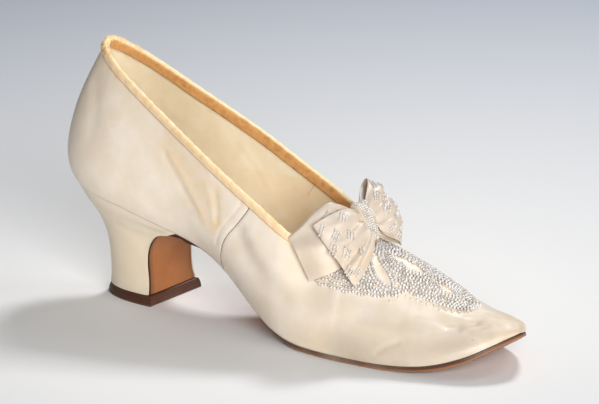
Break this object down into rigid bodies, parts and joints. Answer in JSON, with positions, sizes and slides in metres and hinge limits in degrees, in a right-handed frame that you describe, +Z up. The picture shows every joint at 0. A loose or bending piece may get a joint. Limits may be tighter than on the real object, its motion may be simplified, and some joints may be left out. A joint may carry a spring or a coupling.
{
  "type": "evening slipper",
  "caption": "Lady's satin evening slipper for the right foot, with a covered curved heel, a beaded vamp, a ribbon bow, a bound topline and a thin turned leather sole.",
  "frame": {"origin": "middle of the shoe's length and width, on the floor under it", "axes": "+X from the heel to the toe, +Y to the medial side, +Z up"},
  "size_m": [0.2448, 0.0692, 0.1182],
  "materials": {
    "satin": "aged ivory silk satin with a soft sheen",
    "sole_leather": "waxed tan leather, worn",
    "lift_leather": "dark brown stacked leather",
    "sock": "yellowed cream lining",
    "binding": "yellowed silk ribbon, frayed",
    "beads": "clear and silvered glass beads on satin",
    "bow_satin": "ivory satin ribbon"
  },
  "bodies": {
    "root": {"upper": "satin", "heel": "satin", "outsole": "sole_leather", "top_lift": "lift_leather", "insole": "sock", "collar_binding": "binding", "vamp_beadwork": "beads", "bow_loop_lateral": "bow_satin", "bow_loop_medial": "bow_satin", "bow_knot": "bow_satin"}
  },
  "joints": []
}
